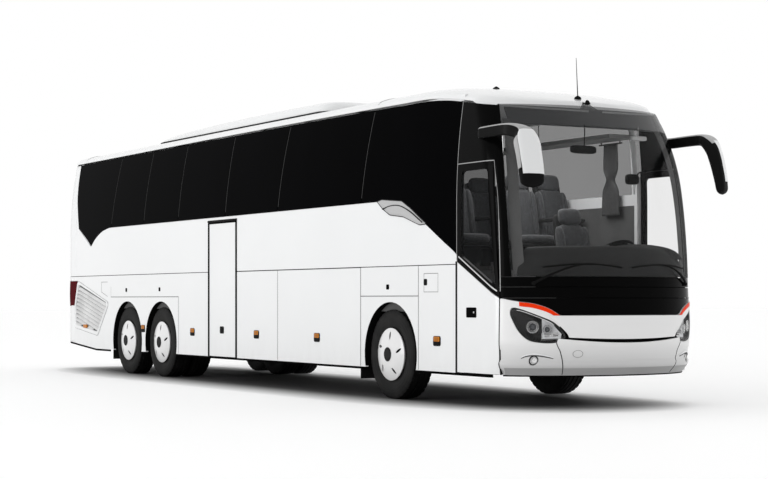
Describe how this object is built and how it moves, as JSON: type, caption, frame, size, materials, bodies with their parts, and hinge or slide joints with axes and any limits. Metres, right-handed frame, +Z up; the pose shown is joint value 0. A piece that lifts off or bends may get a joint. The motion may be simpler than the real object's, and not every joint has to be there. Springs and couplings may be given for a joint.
{
  "type": "coach bus",
  "caption": "Three-axle touring coach with dark window band, hinged doors and luggage flaps, steered front wheels and free-turning wheels.",
  "frame": {"origin": "on the ground, under the middle of the coach's overall length and width", "axes": "+X forward along the coach, +Y to the coach's left, +Z up"},
  "size_m": [14.0277, 2.717, 3.74],
  "materials": {
    "white_paint": "gloss white paint",
    "black_paint": "gloss black panel",
    "dark_glass": "near-black tinted glass",
    "clear_glass": "clear laminated glass",
    "lamp_glass": "clear lamp lens over chrome",
    "red_lens": "dark red lens",
    "tyre": "black tyre rubber",
    "rubber": "matt black rubber",
    "rim_paint": "white painted steel",
    "chassis_steel": "dark underbody paint",
    "axle_iron": "dark cast and forged iron",
    "black_plastic": "grained black plastic",
    "grey_plastic": "dark grey cab plastic",
    "seat_cloth": "dark grey seat cloth",
    "floor_vinyl": "grey vinyl floor"
  },
  "bodies": {
    "coach": {"chassis_frame": "chassis_steel", "luggage_hold": "chassis_steel", "floor_deck": "floor_vinyl", "entrance_steps": "floor_vinyl", "engine_block": "axle_iron", "side_wall_right": "white_paint", "side_wall_left": "white_paint", "lower_side_right": "white_paint", "lower_side_left": "white_paint", "side_grilles": "white_paint", "side_glass": "dark_glass", "roof_shell": "white_paint", "roof_unit": "white_paint", "front_frame": "black_paint", "windscreen": "clear_glass", "cab_panel_left": "white_paint", "driver_window": "clear_glass", "front_bumper": "white_paint", "nose_panel": "white_paint", "headlamps": "lamp_glass", "rear_wall": "white_paint", "rear_window": "dark_glass", "tail_lamps": "red_lens", "mirrors": "white_paint", "wipers": "black_plastic", "dashboard": "grey_plastic", "seats": "seat_cloth", "luggage_racks": "grey_plastic", "mudflaps": "rubber", "front_axle": "axle_iron", "drive_axle": "axle_iron", "tag_axle": "axle_iron"},
    "front_door": {"front_door": "black_paint", "front_door_glass": "clear_glass"},
    "front_door_arm": {"front_door_arm": "chassis_steel"},
    "middle_door": {"middle_door": "white_paint"},
    "middle_door_arm": {"middle_door_arm": "chassis_steel"},
    "engine_lid": {"engine_lid": "white_paint"},
    "steering_wheel": {"steering_wheel": "black_plastic"},
    "knuckle_right": {"knuckle_right": "axle_iron"},
    "knuckle_left": {"knuckle_left": "axle_iron"},
    "luggage_flap_right_front": {"luggage_flap_right_front": "white_paint"},
    "luggage_flap_right_rear": {"luggage_flap_right_rear": "white_paint"},
    "luggage_flap_left_front": {"luggage_flap_left_front": "white_paint"},
    "luggage_flap_left_rear": {"luggage_flap_left_rear": "white_paint"},
    "wheel_front_right": {"tyre_front_right": "tyre", "rim_front_right": "rim_paint"},
    "wheel_front_left": {"tyre_front_left": "tyre", "rim_front_left": "rim_paint"},
    "wheel_drive_right": {"tyre_drive_right": "tyre", "rim_drive_right": "rim_paint"},
    "wheel_drive_left": {"tyre_drive_left": "tyre", "rim_drive_left": "rim_paint"},
    "wheel_tag_right": {"tyre_tag_right": "tyre", "rim_tag_right": "rim_paint"},
    "wheel_tag_left": {"tyre_tag_left": "tyre", "rim_tag_left": "rim_paint"}
  },
  "joints": [
    {"name": "steer_right", "type": "hinge", "parent": "coach", "child": "knuckle_right", "pos_m": [4.0075, -0.96, 0.522], "axis": [0, 0, 1], "range_deg": [-42, 42]},
    {"name": "steer_left", "type": "hinge", "parent": "coach", "child": "knuckle_left", "pos_m": [4.0075, 0.96, 0.522], "axis": [0, 0, 1], "range_deg": [-42, 42]},
    {"name": "steering_wheel_turn", "type": "hinge", "parent": "coach", "child": "steering_wheel", "pos_m": [5.9075, 0.56, 1.69], "axis": [-0.5299, 0, 0.848], "range_deg": [-756, 756]},
    {"name": "spin_front_right", "type": "hinge", "parent": "knuckle_right", "child": "wheel_front_right", "pos_m": [4.0075, -1.0955, 0.522], "axis": [0, 1, 0], "continuous": true},
    {"name": "spin_front_left", "type": "hinge", "parent": "knuckle_left", "child": "wheel_front_left", "pos_m": [4.0075, 1.0955, 0.522], "axis": [0, 1, 0], "continuous": true},
    {"name": "spin_drive_right", "type": "hinge", "parent": "coach", "child": "wheel_drive_right", "pos_m": [-2.8925, -1.0955, 0.522], "axis": [0, 1, 0], "continuous": true},
    {"name": "spin_drive_left", "type": "hinge", "parent": "coach", "child": "wheel_drive_left", "pos_m": [-2.8925, 1.0955, 0.522], "axis": [0, 1, 0], "continuous": true},
    {"name": "spin_tag_right", "type": "hinge", "parent": "coach", "child": "wheel_tag_right", "pos_m": [-4.2425, -1.0955, 0.522], "axis": [0, 1, 0], "continuous": true},
    {"name": "spin_tag_left", "type": "hinge", "parent": "coach", "child": "wheel_tag_left", "pos_m": [-4.2425, 1.0955, 0.522], "axis": [0, 1, 0], "continuous": true},
    {"name": "front_door_arm_swing", "type": "hinge", "parent": "coach", "child": "front_door_arm", "pos_m": [5.67, -1.12, 0.9], "axis": [0, 0, -1], "range_deg": [0, 115]},
    {"name": "front_door_swing", "type": "hinge", "parent": "front_door_arm", "child": "front_door", "pos_m": [6.19, -1.12, 0.9], "axis": [0, 0, -1], "range_deg": [-115, 0]},
    {"name": "middle_door_arm_swing", "type": "hinge", "parent": "coach", "child": "middle_door_arm", "pos_m": [-0.914, -1.12, 0.9], "axis": [0, 0, -1], "range_deg": [0, 115]},
    {"name": "middle_door_swing", "type": "hinge", "parent": "middle_door_arm", "child": "middle_door", "pos_m": [-0.394, -1.12, 0.9], "axis": [0, 0, -1], "range_deg": [-115, 0]},
    {"name": "luggage_flap_right_front_lift", "type": "hinge", "parent": "coach", "child": "luggage_flap_right_front", "pos_m": [0, -1.275, 1.545], "axis": [-1, 0, 0], "range_deg": [0, 88]},
    {"name": "luggage_flap_right_rear_lift", "type": "hinge", "parent": "coach", "child": "luggage_flap_right_rear", "pos_m": [0, -1.275, 1.545], "axis": [-1, 0, 0], "range_deg": [0, 88]},
    {"name": "luggage_flap_left_front_lift", "type": "hinge", "parent": "coach", "child": "luggage_flap_left_front", "pos_m": [0, 1.275, 1.545], "axis": [1, 0, 0], "range_deg": [0, 88]},
    {"name": "luggage_flap_left_rear_lift", "type": "hinge", "parent": "coach", "child": "luggage_flap_left_rear", "pos_m": [0, 1.275, 1.545], "axis": [1, 0, 0], "range_deg": [0, 88]},
    {"name": "engine_lid_lift", "type": "hinge", "parent": "coach", "child": "engine_lid", "pos_m": [-7.0175, 0, 1.7], "axis": [0, 1, 0], "range_deg": [0, 80]}
  ],
  "couplings": [
    {"joint": "steer_left", "follows": "steer_right", "ratio": 1},
    {"joint": "steering_wheel_turn", "follows": "steer_right", "ratio": 18},
    {"joint": "front_door_swing", "follows": "front_door_arm_swing", "ratio": -1},
    {"joint": "middle_door_swing", "follows": "middle_door_arm_swing", "ratio": -1}
  ]
}
